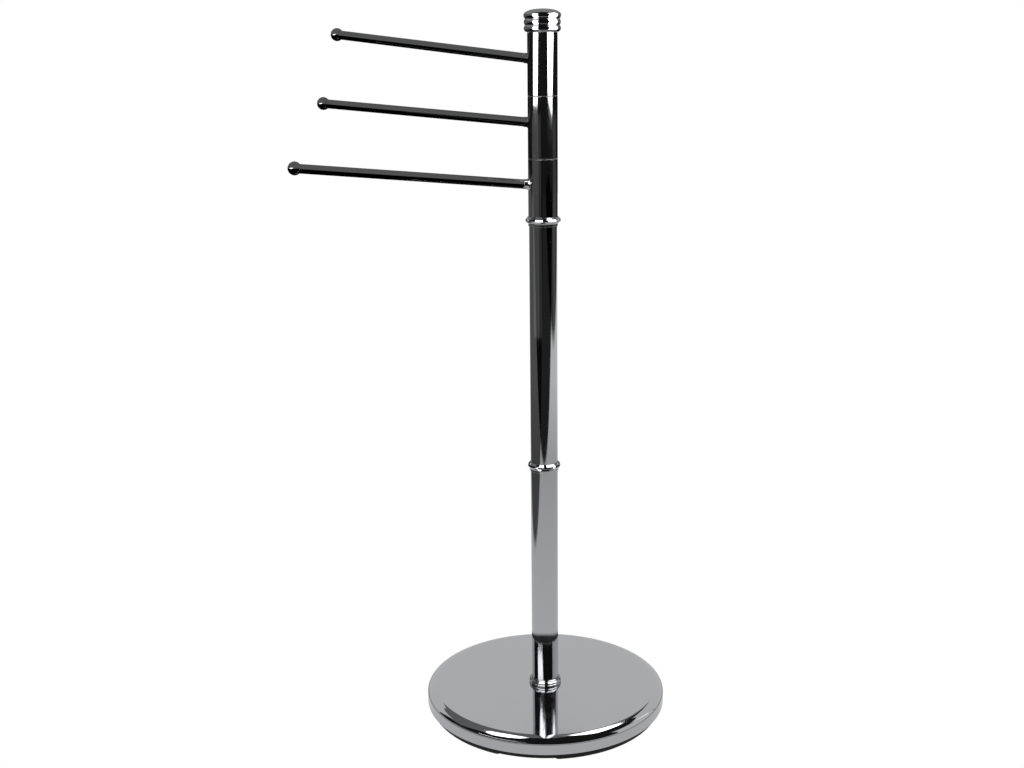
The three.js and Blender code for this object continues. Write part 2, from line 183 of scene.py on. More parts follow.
def rounded(corners):
    """Profile with its corners rounded.

    Each corner is (radius, height, rounding). A corner whose rounding is above zero is cut by the
    arc of that radius that touches both of its edges, shortened where an edge is too short for it.
    """
    pts = np.array([c[:2] for c in corners], float)
    before, after = np.roll(pts, 1, 0), np.roll(pts, -1, 0)
    out = []
    for p, a, b, (_, _, r) in zip(pts, before, after, corners):
        u, v = a - p, b - p
        lu, lv = np.hypot(*u), np.hypot(*v)
        u, v = u / lu, v / lv
        half = math.acos(max(-1.0, min(1.0, float(u @ v)))) / 2
        if r <= 0 or half > math.radians(89):
            out.append(p[None])
            continue
        cut = min(r / math.tan(half), 0.49 * lu, 0.49 * lv)
        r = cut * math.tan(half)
        centre = p + (u + v) / np.hypot(*(u + v)) * r / math.sin(half)
        sweep = math.pi - 2 * half
        s = np.linspace(0, 1, max(3, math.ceil(sweep / ARC_STEP) + 1))[:, None]
        from_a, from_b = p + u * cut - centre, p + v * cut - centre
        out.append(centre + (np.sin((1 - s) * sweep) * from_a + np.sin(s * sweep) * from_b) / math.sin(sweep))
    return np.concatenate(out)


def flowing(points, steps=10):
    """Smooth curve through points: on each stretch the cubic whose slope at both ends is half the
    step between the neighbouring points. The first and last points only steer the ends."""
    p = np.array(points, float)
    t = (np.arange(steps) / steps)[None, :, None]
    a, b, c, d = (p[i:len(p) - 3 + i, None] for i in range(4))
    curve = b + 0.5 * t * (c - a + t * (2 * a - 5 * b + 4 * c - d + t * (3 * (b - c) + d - a)))
    return [(r, h, 0) for r, h in np.concatenate([curve.reshape(-1, 2), p[-2:-1]])]


def bow(centre, reach, start, end, steps):
    """Points of an ellipse about centre with half axes reach, from start to end degrees."""
    t = np.radians(np.linspace(start, end, steps + 1))
    return [(centre[0] + reach[0] * c, centre[1] + reach[1] * s, 0) for c, s in zip(np.cos(t), np.sin(t))]


def profile_normals(profile, on_axis):
    """Outward normals of a profile: the normals of its two edges at each point, weighed by length,
    so that a flat stretch stays flat up to the arc that ends it."""
    edge = np.roll(profile, -1, 0) - profile
    if on_axis:
        edge[-1] = 0
    across = np.stack([edge[:, 1], -edge[:, 0]], 1)
    both = across + np.roll(across, 1, 0)
    if on_axis:
        both[0], both[-1] = (0, both[0, 1]), (0, both[-1, 1])
    return both / np.linalg.norm(both, axis=1)[:, None]


def turned(profile, turns, slide=None):
    """Surface of revolution: point i of the profile at turn j is (r cos a, r sin a, h), with
    a = 2 pi j / turns. A profile that starts and ends on the axis is closed there by one pole
    point each; any other is a closed loop. slide, where given, moves the points along the axis.
    Returns points, faces and normals.
    """
    profile = np.asarray(profile, float)
    following = np.roll(profile, -1, 0)
    if (profile[:, 0] * following[:, 1] - following[:, 0] * profile[:, 1]).sum() < 0:
        profile = profile[::-1]
    on_axis = abs(profile[0, 0]) < 1e-6 and abs(profile[-1, 0]) < 1e-6
    normal = profile_normals(profile, on_axis)
    angle = np.arange(turns) * 2 * math.pi / turns
    rows = slice(1, -1) if on_axis else slice(None)
    ring, ring_normal = profile[rows], normal[rows]
    cos, sin = np.cos(angle)[:, None], np.sin(angle)[:, None]
    points = np.stack([cos * ring[:, 0], sin * ring[:, 0], cos * 0 + ring[:, 1]], 2).reshape(-1, 3)
    normals = np.stack([cos * ring_normal[:, 0], sin * ring_normal[:, 0], cos * 0 + ring_normal[:, 1]], 2)
    normals = normals.reshape(-1, 3)
    if slide is not None:
        points = slide(points)
    n = len(ring)
    j, i = np.meshgrid(np.arange(turns), np.arange(n - 1 if on_axis else n), indexing="ij")
    right, up = (j + 1) % turns, (i + 1) % n
    quads = np.stack([j * n + i, right * n + i, right * n + up, j * n + up], 2).reshape(-1, 4).tolist()
    if not on_axis:
        return points, quads, normals
    poles = np.stack([np.array([0, 0, profile[0, 1]]), np.array([0, 0, profile[-1, 1]])])
    low, high = turns * n, turns * n + 1
    j = np.arange(turns)
    right = (j + 1) % turns
    fans = np.concatenate([
        np.stack([j * 0 + low, right * n, j * n], 1),
        np.stack([j * n + n - 1, right * n + n - 1, j * 0 + high], 1),
    ]).tolist()
    points = np.concatenate([points, poles])
    normals = np.concatenate([normals, [[0, 0, -1], [0, 0, 1]]])
    return points, quads + fans, normals


def swept_arc(section, start, end, corner, steps):
    """Section of (radius, height) points carried round the pole's axis from angle start to end.

    Within corner mm of an end the section narrows about its middle radius by corner less the
    height of a quarter circle, which rounds the piece's corners. Flat faces close both ends.
    """
    section = np.asarray(section, float)
    middle = (section[:, 0].min() + section[:, 0].max()) / 2
    half = (section[:, 0].max() - section[:, 0].min()) / 2
    quarter = corner * (1 - np.cos(np.linspace(0, math.pi / 2, 7))) / middle
    angle = np.concatenate([start + quarter, np.linspace(start + quarter[-1], end - quarter[-1], steps)[1:-1],
                            (end - quarter)[::-1]])
    gone = np.minimum(angle - start, end - angle) * middle
    inset = corner - np.sqrt(np.clip(corner ** 2 - np.clip(corner - gone, 0, corner) ** 2, 0, None))
    share = (half - inset) / half
    radius = middle + (section[None, :, 0] - middle) * share[:, None]
    points = np.stack([radius * np.cos(angle)[:, None], radius * np.sin(angle)[:, None],
                       np.broadcast_to(section[:, 1], radius.shape)], 2).reshape(-1, 3)
    n, m = len(section), len(angle)
    j, i = np.meshgrid(np.arange(m - 1), np.arange(n), indexing="ij")
    up = (i + 1) % n
    quads = np.stack([j * n + i, (j + 1) * n + i, (j + 1) * n + up, j * n + up], 2).reshape(-1, 4).tolist()
    ends = [list(range(n)), [(m - 1) * n + k for k in reversed(range(n))]]
    return points, quads + ends


def along_arm(arm, height):
    """Turn and lift that carry a piece from the Z axis to the arm's own axis: tip it by 90 degrees
    less the rise, turn it to the arm's bearing, then lift it to its height on the pole."""
    _, turn, rise = arm
    tip = Matrix.Rotation(math.pi / 2 - math.radians(rise), 3, "Y")
    bearing = Matrix.Rotation(math.radians(180 - turn), 3, "Z")
    return np.array(bearing @ tip), np.array([0, 0, height])


def add_piece(name, shape, body, material, nodes, place=None, crease=None):
    """Puts a shape, in mm, into a mesh object that rides on a body and stands for CAD nodes.
    crease is the angle in degrees above which an edge stays sharp, for a shape with no normals."""
    points, faces = np.asarray(shape[0], float), shape[1]
    normals = shape[2] if len(shape) > 2 else None
    if place is not None:
        points = points @ place[0].T + place[1]
        normals = None if normals is None else normals @ place[0].T
    mesh = bpy.data.meshes.new(name)
    mesh.from_pydata((points * MM).tolist(), [], faces)
    mesh.validate()
    mesh.shade_smooth()
    if crease is not None:
        mesh.set_sharp_from_angle(angle=math.radians(crease))
    elif normals is not None:
        mesh.normals_split_custom_set_from_vertices(normals.tolist())
    mesh.materials.append(material)
    piece = bpy.data.objects.new(name, mesh)
    bpy.context.scene.collection.objects.link(piece)
    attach(piece, body)
    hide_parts(*nodes)
    return piece


def pipe(bore, radius, bottom, top, edge):
    """Profile of a straight pipe with broken edges."""
    return rounded([(bore, bottom, edge), (radius, bottom, edge), (radius, top, edge), (bore, top, edge)])


# ------------------------------------------------------------------ finishes


def linear(code):
    """Linear colour with alpha 1 from an sRGB hex value."""
    parts = [int(code[i:i + 2], 16) / 255 for i in (1, 3, 5)]
    return [p / 12.92 if p <= 0.04045 else ((p + 0.055) / 1.055) ** 2.4 for p in parts] + [1.0]


def add_node(tree, kind, fields=None, values=None, links=None):
    """Adds a node, sets its fields and socket values, and links its inputs to other outputs."""
    made = tree.nodes.new(kind)
    for key, value in (fields or {}).items():
        setattr(made, key, value)
    for key, value in (values or {}).items():
        made.inputs[key].default_value = value
    for key, source in (links or {}).items():
        tree.links.new(source, made.inputs[key])
    return made


def new_material(name):
    """A new material with an empty tree, its output and its object coordinates."""
    found = bpy.data.materials.get(name)
    if found is not None:
        return found, None, None, None
    material = bpy.data.materials.new(name)
    material.use_nodes = True
    tree = material.node_tree
    tree.nodes.clear()
    output = add_node(tree, "ShaderNodeOutputMaterial")
    place = add_node(tree, "ShaderNodeTexCoord").outputs["Object"]
    return material, tree, output, place


def per_metre(pitch_mm):
    """Pattern scale that repeats about every pitch_mm millimetres."""
    return 1000.0 / pitch_mm


def ramp(tree, factor, low, high, first, last):
    """Maps factor from low..high to first..last, held at both ends."""
    return add_node(tree, "ShaderNodeMapRange", None,
                    {"From Min": low, "From Max": high, "To Min": first, "To Max": last},
                    {"Value": factor}).outputs["Result"]


def polished_chrome():
    """Decorative chromium over bright nickel on polished steel tube and pressed sheet.

    A near mirror with a cool cast. The eye sees it by what it mirrors, by a faint haze where
    hands and cloths have been, and by hairlines left by wiping. Hairlines are about 0.02 mm wide
    on the real thing and are drawn near 0.3 mm, the finest that shows.
    """
    material, tree, output, place = new_material("polished_chrome")
    if tree is None:
        return material
    finishes = bpy.context.scene.rack_finishes
    haze = add_node(tree, "ShaderNodeTexNoise", None,
                    {"Scale": per_metre(35), "Detail": 4.0, "Roughness": 0.55}, {"Vector": place})
    grain = add_node(tree, "ShaderNodeTexNoise", None,
                     {"Scale": per_metre(1.6), "Detail": 3.0, "Roughness": 0.6}, {"Vector": place})
    long_way = add_node(tree, "ShaderNodeMapping", None,
                        {"Scale": (per_metre(0.6), per_metre(0.6), per_metre(22)),
                         "Rotation": (0.35, 0.2, 0.0)}, {"Vector": place})
    cross_way = add_node(tree, "ShaderNodeMapping", None,
                         {"Scale": (per_metre(26), per_metre(0.7), per_metre(0.7)),
                          "Rotation": (0.0, 0.25, 0.6)}, {"Vector": place})
    hair_a = add_node(tree, "ShaderNodeTexNoise", None, {"Scale": 1.0, "Detail": 2.0},
                      {"Vector": long_way.outputs["Vector"]})
    hair_b = add_node(tree, "ShaderNodeTexNoise", None, {"Scale": 1.0, "Detail": 2.0},
                      {"Vector": cross_way.outputs["Vector"]})
    lines = add_node(tree, "ShaderNodeMath", {"operation": "MAXIMUM"}, None,
                     {0: ramp(tree, hair_a.outputs["Fac"], 0.66, 0.74, 0.0, 1.0),
                      1: ramp(tree, hair_b.outputs["Fac"], 0.67, 0.75, 0.0, 1.0)})
    clean = finishes.chrome_roughness
    soft = add_node(tree, "ShaderNodeMath", {"operation": "ADD"}, None,
                    {0: ramp(tree, haze.outputs["Fac"], 0.4, 0.75, clean, clean + 0.05),
                     1: ramp(tree, grain.outputs["Fac"], 0.45, 0.8, 0.0, 0.02)})
    rough = add_node(tree, "ShaderNodeMath", {"operation": "ADD"}, None,
                     {0: soft.outputs["Value"], 1: ramp(tree, lines.outputs["Value"], 0.0, 1.0, 0.0, 0.07)})
    ripple = add_node(tree, "ShaderNodeTexNoise", None,
                      {"Scale": per_metre(60), "Detail": 1.0}, {"Vector": place})
    height = add_node(tree, "ShaderNodeMath", {"operation": "MULTIPLY_ADD"}, {1: -0.02},
                      {0: lines.outputs["Value"], 2: ripple.outputs["Fac"]})
    bump = add_node(tree, "ShaderNodeBump", None, {"Strength": 0.12, "Distance": 0.0004},
                    {"Height": height.outputs["Value"]})
    shader = add_node(tree, "ShaderNodeBsdfPrincipled", None,
                      {"Base Color": (*finishes.chrome_colour, 1.0), "Metallic": 1.0},
                      {"Roughness": rough.outputs["Value"], "Normal": bump.outputs["Normal"]})
    tree.links.new(shader.outputs["BSDF"], output.inputs["Surface"])
    return material


def grained(name, dark, light, roughness, pitch_mm, bump_mm, metallic=0.0, mottle_mm=30.0, specular=0.5):
    """A finish of two close tones mottled together over a fine grain.

    dark and light are linear colours. roughness is its lowest and highest value, pitch_mm the
    size of a grain, bump_mm its height and mottle_mm the size of the mottling.
    """
    material, tree, output, place = new_material(name)
    if tree is None:
        return material
    mottle = add_node(tree, "ShaderNodeTexNoise", None,
                      {"Scale": per_metre(mottle_mm), "Detail": 5.0, "Roughness": 0.6}, {"Vector": place})
    grain = add_node(tree, "ShaderNodeTexNoise", None,
                     {"Scale": per_metre(pitch_mm), "Detail": 3.0, "Roughness": 0.55}, {"Vector": place})
    tone = add_node(tree, "ShaderNodeMix", {"data_type": "RGBA"}, {"A": dark, "B": light})
    tree.links.new(ramp(tree, mottle.outputs["Fac"], 0.35, 0.65, 0.0, 1.0), tone.inputs["Factor"])
    bump = add_node(tree, "ShaderNodeBump", None, {"Strength": 0.6, "Distance": bump_mm * MM},
                    {"Height": grain.outputs["Fac"]})
    shader = add_node(tree, "ShaderNodeBsdfPrincipled", None,
                      {"Metallic": metallic, "Specular IOR Level": specular},
                      {"Base Color": tone.outputs["Result"], "Normal": bump.outputs["Normal"],
                       "Roughness": ramp(tree, grain.outputs["Fac"], 0.3, 0.7, *roughness)})
    tree.links.new(shader.outputs["BSDF"], output.inputs["Surface"])
    return material


def moulded_polypropylene():
    """Black polypropylene from a spark-eroded mould: a dull, fine-grained skin."""
    colour = [*bpy.context.scene.rack_finishes.plastic_colour, 1.0]
    paler = [c * 1.7 for c in colour[:3]] + [1.0]
    return grained("moulded_polypropylene", colour, paler, (0.42, 0.58), 0.8, 0.03, specular=0.2)


def foot_rubber():
    """Pressed black rubber: nearly no gloss, mottled with a dusty grey."""
    return grained("foot_rubber", linear("#0a0a0a"), linear("#151514"), (0.75, 0.92), 0.9, 0.05, specular=0.2)


def painted_iron():
    """Sand-cast iron under a thin black dip paint: coarse skin, dull sheen."""
    return grained("painted_iron", linear("#1c1c1e"), linear("#34332f"), (0.5, 0.72), 1.8, 0.25)


def zinc_plate():
    """Bright zinc plate on steel: pale blue-grey, clouded, with a satin gloss."""
    return grained("zinc_plate", linear("#9ea4ab"), linear("#c2c6c6"), (0.24, 0.38), 0.5, 0.01,
                   metallic=1.0, mottle_mm=9.0)


def natural_nylon():
    """Natural nylon washers and bushes: milky, smooth from the mould."""
    return grained("natural_nylon", linear("#dcd9cf"), linear("#efede6"), (0.34, 0.46), 0.7, 0.01,
                   mottle_mm=14.0)


def oiled_spring_steel():
    """Hardened spring strip, blued and oiled: darker than the zinc, with straw-coloured clouds."""
    return grained("oiled_spring_steel", linear("#55565c"), linear("#7b7467"), (0.2, 0.34), 0.4, 0.01,
                   metallic=1.0, mottle_mm=6.0)


FINISH_OF_SLOT = {
    "chrome": polished_chrome,
    "black_plastic": moulded_polypropylene,
    "black_rubber": foot_rubber,
    "cast_iron": painted_iron,
    "zinc_steel": zinc_plate,
    "nylon": natural_nylon,
    "spring_steel": oiled_spring_steel,
}


# ------------------------------------------------------------------ base


class RACK_OT_base_cover(bpy.types.Operator):
    """Pressed round cover: flat top, rounded shoulder, upright rim."""

    bl_idname = "rack.base_cover"
    bl_label = "Base cover"

    def execute(self, context):
        radius = context.scene.rack_sizes.base_radius / MM
        bottom, top = lowest("base_cover"), highest("base_cover")
        flat, foot = radius - SHOULDER_WIDTH, top - SHOULDER_DROP
        profile = rounded([
            (BOLT_HOLE, top - COVER_WALL, 0.2),
            (flat, top - COVER_WALL, 0),
            *bow((flat, foot), (SHOULDER_WIDTH - COVER_WALL, SHOULDER_DROP - COVER_WALL), 85, 0, 18),
            (radius - COVER_WALL, bottom, 0.4),
            (radius, bottom, 0.4),
            *bow((flat, foot), (SHOULDER_WIDTH, SHOULDER_DROP), 0, 90, 30),
            (BOLT_HOLE, top, 0.2),
        ])
        add_piece("pressed_cover", turned(profile, BASE_TURNS), "stand", polished_chrome(),
                  ["base_cover"])
        return {"FINISHED"}


class RACK_OT_base_tray(bpy.types.Operator):
    """Moulded tray that closes the base, with a recess for each screw."""

    bl_idname = "rack.base_tray"
    bl_label = "Base tray"

    def execute(self, context):
        bottom, radius = lowest("base_tray"), reach_of("base_tray")
        top = bottom + TRAY_HEIGHT
        floor = bottom + TRAY_FLOOR
        boss_top = highest("base_tray")
        profile = rounded([
            (0, bottom, 0),
            (radius, bottom, 1.0),
            (radius, top, 0.5),
            (radius - TRAY_WALL, top, 0.5),
            (radius - TRAY_WALL, floor, 1.0),
            (SCREW_CIRCLE + BOSS_RADIUS, floor, 0.5),
            (SCREW_CIRCLE + BOSS_RADIUS, boss_top - BOSS_DEPTH, 0.5),
            (SCREW_CIRCLE - BOSS_RADIUS, boss_top - BOSS_DEPTH, 0.5),
            (SCREW_CIRCLE - BOSS_RADIUS, floor, 0.5),
            (0, floor, 0),
        ])
        tray = add_piece("moulded_tray", turned(profile, BASE_TURNS)[:2], "stand",
                         moulded_polypropylene(), ["base_tray"], crease=35)
        depth = bottom + SCREW_RECESS_DEPTH
        for k in range(4):
            angle = (k + 0.5) * math.pi / 2
            centre = (SCREW_CIRCLE * math.cos(angle), SCREW_CIRCLE * math.sin(angle))
            drill = turned(rounded([
                (0, bottom - 2, 0), (SCREW_RECESS_RADIUS, bottom - 2, 0),
                (SCREW_RECESS_RADIUS, depth, 0), (2.4, depth, 0), (2.4, boss_top + 5, 0), (0, boss_top + 5, 0),
            ]), 40)
            mesh = bpy.data.meshes.new("drill")
            mesh.from_pydata(((drill[0] + [centre[0], centre[1], 0]) * MM).tolist(), [], drill[1])
            tool = bpy.data.objects.new("drill", mesh)
            context.scene.collection.objects.link(tool)
            cut = tray.modifiers.new("recess", "BOOLEAN")
            cut.operation, cut.solver, cut.object = "DIFFERENCE", "EXACT", tool
            ready = tray.evaluated_get(context.evaluated_depsgraph_get())
            drilled = bpy.data.meshes.new_from_object(ready)
            tray.modifiers.remove(cut)
            tray.data = drilled
            bpy.data.objects.remove(tool)
        tray.data.set_sharp_from_angle(angle=math.radians(35))
        return {"FINISHED"}


class RACK_OT_foot_pads(bpy.types.Operator):
    """Curved rubber feet under the tray's edge, each with a chamfered tread."""

    bl_idname = "rack.foot_pads"
    bl_label = "Foot pads"

    def execute(self, context):
        top = highest("foot_pad_1")
        section = rounded([
            (PAD_INNER + 1.2, 0, 0.5), (PAD_INNER + 9.2, 0, 0.2), (PAD_INNER + 9.8, 0.6, 0.2),
            (PAD_INNER + 14.7, 0.6, 0.2), (PAD_INNER + 15.3, 0, 0.2), (PAD_OUTER - 1.2, 0, 0.5),
            (PAD_OUTER, 1.2, 0.4), (PAD_OUTER, top, 0.3), (PAD_INNER, top, 0.3), (PAD_INNER, 1.2, 0.4),
        ])
        for k in range(4):
            start = -math.pi / 2 + PAD_TURN + k * math.pi / 2 + PAD_GAP / 2
            end = start + math.pi / 2 - PAD_GAP
            add_piece(f"rubber_foot_{k + 1}", swept_arc(section, start, end, 3.0, 48), "stand",
                      foot_rubber(), [f"foot_pad_{k + 1}"], crease=40)
        return {"FINISHED"}


class RACK_OT_foot_collar(bpy.types.Operator):
    """Turned collar at the pole's foot: two rounded ridges under a slim neck."""

    bl_idname = "rack.foot_collar"
    bl_label = "Foot collar"

    def execute(self, context):
        z, radius = lowest("foot_collar"), reach_of("foot_collar")
        bore = context.scene.rack_sizes.pole_radius / MM + FIT
        profile = rounded([
            (bore, z, 0.2),
            (radius - 0.6, z, 0.4),
            (radius + 0.1, z + 1.2, 1.0),
            (radius - 0.1, z + 2.4, 0.8),
            (radius - 1.2, z + 3.0, 0.35),
            (radius - 0.3, z + 3.7, 0.9),
            (radius - 0.4, z + 4.9, 0.9),
            (radius - 1.4, z + 6.0, 0.5),
            (bore + 0.9, z + 6.2, 0.3),
            (bore + 1.0, z + 7.2, 0.5),
            (bore + 0.5, z + 7.8, 0.3),
            (bore, z + 7.8, 0.1),
        ])
        add_piece("ribbed_collar", turned(profile, POLE_TURNS), "stand", polished_chrome(),
                  ["foot_collar"])
        return {"FINISHED"}


# ------------------------------------------------------------------ pole


class RACK_OT_pole_tubes(bpy.types.Operator):
    """The two plain chromed tubes of the pole."""

    bl_idname = "rack.pole_tubes"
    bl_label = "Pole tubes"

    def execute(self, context):
        sizes = context.scene.rack_sizes
        radius = sizes.pole_radius / MM
        for name, node in (("lower_pipe", "lower_tube"), ("middle_pipe", "middle_tube")):
            profile = pipe(radius - TUBE_WALL, radius, lowest(node), highest(node), sizes.edge_rounding / MM)
            add_piece(name, turned(profile, POLE_TURNS), "stand", polished_chrome(), [node])
        return {"FINISHED"}


class RACK_OT_joint_rings(bpy.types.Operator):
    """Beaded rings that join the tubes: a pointed bead over a straight lip, with a web inside."""

    bl_idname = "rack.joint_rings"
    bl_label = "Joint rings"

    def execute(self, context):
        sizes = context.scene.rack_sizes
        tube, sleeve = sizes.pole_radius / MM, sizes.sleeve_radius / MM
        lip = tube + FIT + 0.6
        rings = (("lower_bead", "lower_joint_ring", tube, RING_CREST),
                 ("upper_bead", "upper_joint_ring", sleeve, RING_CREST - RING_WEB / 2))
        for name, node, above, web in rings:
            z, top, radius = lowest(node), highest(node), reach_of(node)
            crest = z + RING_CREST
            profile = rounded([
                (tube + FIT, z, 0.15),
                (lip, z, 0.25),
                (lip, z + RING_LIP, 0.3),
                (radius - 1.0, crest - 2.0, 0.9),
                (radius + 0.15, crest - 0.2, 0.9),
                (radius - 0.7, crest + 2.1, 1.0),
                (above + FIT + 0.3, top, 0.25),
                (above + FIT, top, 0.15),
                (above + FIT, z + web, 0.1),
                (BOLT_HOLE, z + web, 0.1),
                (BOLT_HOLE, z + web - RING_WEB, 0.1),
                (tube + FIT, z + web - RING_WEB, 0.1),
            ])
            add_piece(name, turned(profile, POLE_TURNS), "stand", polished_chrome(), [node])
        return {"FINISHED"}


class RACK_OT_seam_washers(bpy.types.Operator):
    """Thin nylon washers that show as a pale line between the sleeves."""

    bl_idname = "rack.seam_washers"
    bl_label = "Seam washers"

    def execute(self, context):
        radius = context.scene.rack_sizes.sleeve_radius / MM - SEAM_DEPTH
        for node in ("bottom_thrust_washer", "sleeve_washer_1", "sleeve_washer_2"):
            profile = pipe(WASHER_BORE, radius, lowest(node), highest(node), 0.12)
            add_piece(node.replace("washer", "disc"), turned(profile, POLE_TURNS), "stand",
                      natural_nylon(), [node])
        return {"FINISHED"}


class RACK_OT_top_cap(bpy.types.Operator):
    """Turned cap: two rounded ridges under a shallow dome, hollow for the nut."""

    bl_idname = "rack.top_cap"
    bl_label = "Top cap"

    def execute(self, context):
        z, top, radius = lowest("top_cap"), highest("top_cap"), reach_of("top_cap")
        edge = z + CAP_EDGE
        profile = rounded([
            (CAP_BORE, z, 0.2),
            (17.4, z, 0.3),
            *flowing([(16.4, z - 1), (18.2, z + 0.3), (20.05, z + 1.9), (20.5, z + 3.9), (20.1, z + 5.9),
                      (19.15, z + 7.3), (19.9, z + 8.6), (20.4, z + 10.7), (19.95, z + 12.7),
                      (19.2, z + 14.1), (20.1, z + 15.4), (radius, edge - 0.2), (radius - 0.5, edge + 1.9),
                      (radius - 2.6, edge + 3.9), (radius - 7.2, edge + 5.7), (radius - 13.5, edge + 6.7),
                      (0, top), (-8, top - 0.3)]),
            (0, z + CAP_SCREW_TOP, 0),
            (CAP_SCREW, z + CAP_SCREW_TOP, 0.1),
            (CAP_SCREW, z + CAP_ROOM, 0.1),
            (CAP_BORE, z + CAP_ROOM, 0.3),
        ])
        dome = int(np.argmax(profile[:, 1]))
        profile = np.roll(profile, -dome - 1, 0)
        profile[-1, 0] = 0
        add_piece("domed_cap", turned(profile, POLE_TURNS), "stand", polished_chrome(), ["top_cap"])
        return {"FINISHED"}


# ------------------------------------------------------------------ arms


def arm_height(name):
    """Height at which an arm's own axis meets the pole's axis."""
    sleeve = f"{name}_sleeve"
    return (lowest(sleeve) + highest(sleeve)) / 2 + ARM_ABOVE_MIDDLE


class RACK_OT_sleeves(bpy.types.Operator):
    """Chromed sleeves that turn about the spindle, one for each arm."""

    bl_idname = "rack.sleeves"
    bl_label = "Sleeves"

    def execute(self, context):
        sizes = context.scene.rack_sizes
        radius, edge = sizes.sleeve_radius / MM, sizes.edge_rounding / MM / 2
        for name, _, _ in ARMS:
            node = f"{name}_sleeve"
            profile = pipe(radius - SLEEVE_WALL, radius, lowest(node), highest(node), edge)
            add_piece(f"{name}_turning_pipe", turned(profile, POLE_TURNS), name,
                      polished_chrome(), [node])
        return {"FINISHED"}


class RACK_OT_arm_roots(bpy.types.Operator):
    """Small flared feet, hollowed to sit on the sleeves."""

    bl_idname = "rack.arm_roots"
    bl_label = "Arm roots"

    def execute(self, context):
        sizes = context.scene.rack_sizes
        arm_radius, sleeve = sizes.arm_radius / MM, sizes.sleeve_radius / MM + 0.05
        for arm in ARMS:
            rise = math.radians(arm[2])
            end = sleeve + FLARE_LENGTH

            def sit(points):
                """Slides each point along the arm so that the foot follows the sleeve: by the
                sleeve's distance at that point less its radius, fading out towards the arm."""
                x, y, s = points.T
                meet = (np.sqrt(sleeve ** 2 - y ** 2) - x * math.sin(rise)) / math.cos(rise)
                fade = np.clip((end - s) / (end - sleeve), 0, 1)
                return np.stack([x, y, s + (meet - sleeve) * fade], 1)

            profile = rounded([
                (FLARE_BORE, sleeve, 0),
                (FLARE_RADIUS, sleeve, 0.15),
                (FLARE_RADIUS - 0.1, sleeve + 0.4, 0.3),
                (FLARE_RADIUS - 0.9, sleeve + 1.3, 0.8),
                (arm_radius + 0.45, sleeve + 2.4, 1.2),
                (arm_radius + 0.35, end, 0.3),
                (FLARE_BORE, end, 0),
            ])
            add_piece(f"{arm[0]}_flared_foot", turned(profile, ARM_TURNS, sit)[:2], arm[0],
                      polished_chrome(), [f"{arm[0]}_root_flare"], along_arm(arm, arm_height(arm[0])), crease=40)
        return {"FINISHED"}


class RACK_OT_arm_pipes(bpy.types.Operator):
    """Slim chromed tubes of the arms."""

    bl_idname = "rack.arm_pipes"
    bl_label = "Arm pipes"

    def execute(self, context):
        sizes = context.scene.rack_sizes
        radius, ball = sizes.arm_radius / MM, sizes.ball_radius / MM
        start = sizes.sleeve_radius / MM + FLARE_LENGTH + FIT
        end = ARM_REACH - math.sqrt(ball ** 2 - radius ** 2) - 0.1
        for arm in ARMS:
            shape = turned(pipe(radius - ARM_WALL, radius, start, end, 0.2), ARM_TURNS)
            add_piece(f"{arm[0]}_pipe", shape, arm[0], polished_chrome(), [f"{arm[0]}_tube"],
                      along_arm(arm, arm_height(arm[0])))
        return {"FINISHED"}


class RACK_OT_ball_ends(bpy.types.Operator):
    """Balls with a spigot pushed into the arms."""

    bl_idname = "rack.ball_ends"
    bl_label = "Ball ends"

    def execute(self, context):
        sizes = context.scene.rack_sizes
        radius, ball = sizes.arm_radius / MM, sizes.ball_radius / MM
        seat = ARM_REACH - math.sqrt(ball ** 2 - radius ** 2)
        spigot = radius - ARM_WALL - FIT / 2
        mouth = math.degrees(math.acos(radius / ball))
        profile = rounded([
            (0, seat - SPIGOT_LENGTH, 0),
            (spigot, seat - SPIGOT_LENGTH, 0.5),
            (spigot, seat, 0.1),
            *bow((0, ARM_REACH), (ball, ball), -mouth, 90, 44),
        ])
        profile[-1, 0] = 0
        for arm in ARMS:
            add_piece(f"{arm[0]}_ball_end", turned(profile, ARM_TURNS), arm[0], polished_chrome(),
                      [f"{arm[0]}_ball"], along_arm(arm, arm_height(arm[0])))
        return {"FINISHED"}


class RACK_OT_inner_parts(bpy.types.Operator):
    """Gives every enclosed part its real finish: weight, bolts, plugs, bushes, spring."""

    bl_idname = "rack.inner_parts"
    bl_label = "Inner parts"

    def execute(self, context):
        for row in frame["record"]["subparts"]:
            node = frame["nodes"][row["node"]]
            node.data.materials.clear()
            node.data.materials.append(FINISH_OF_SLOT[row["material_slot"]]())
        return {"FINISHED"}


# ------------------------------------------------------------------ stage

# Brightness of the softboxes, of what the camera sees bare, of the floor as the chrome sees it
# close to the base and further off, and of the room.
SOFTBOX = 4.0
WHITE = 1.0
FLOOR_NEAR = 0.64
FLOOR_FAR = 0.50
ROOM_DARK = 0.012
FLOOR_HALF = 6.0

# The bright paper in metres: where it is dimmest, the bands in which it falls off at its left,
# right and front, and the ring of painted shadow round the base: its centre, the bands of its
# inner and outer edges, and the tone it leaves.
FLOOR_TURN = 0.95
FLOOR_LEFT = (-0.60, -0.54)
FLOOR_RIGHT = (2.0, 2.3)
FLOOR_FRONT = (-1.04, -0.98)
SHADOW_RING_CENTRE = (0.0, -0.008, 0.0)
SHADOW_RING_INSIDE = (0.184, 0.190)
SHADOW_RING_OUTSIDE = (0.215, 0.225)
SHADOW_RING_TONE = 0.04

# Pieces that some lights leave out or single out, by the ends of their names.
ARMS_SHINE = ("_arm_pipe", "upper_arm_flared_foot", "middle_arm_flared_foot")
BALLS = ("_ball_end",)
CAP = ("domed_cap",)
COVER = ("pressed_cover",)
DISCS = ("_disc", "_disc_1", "_disc_2")
NOT_POLE = ARMS_SHINE + BALLS + CAP + DISCS

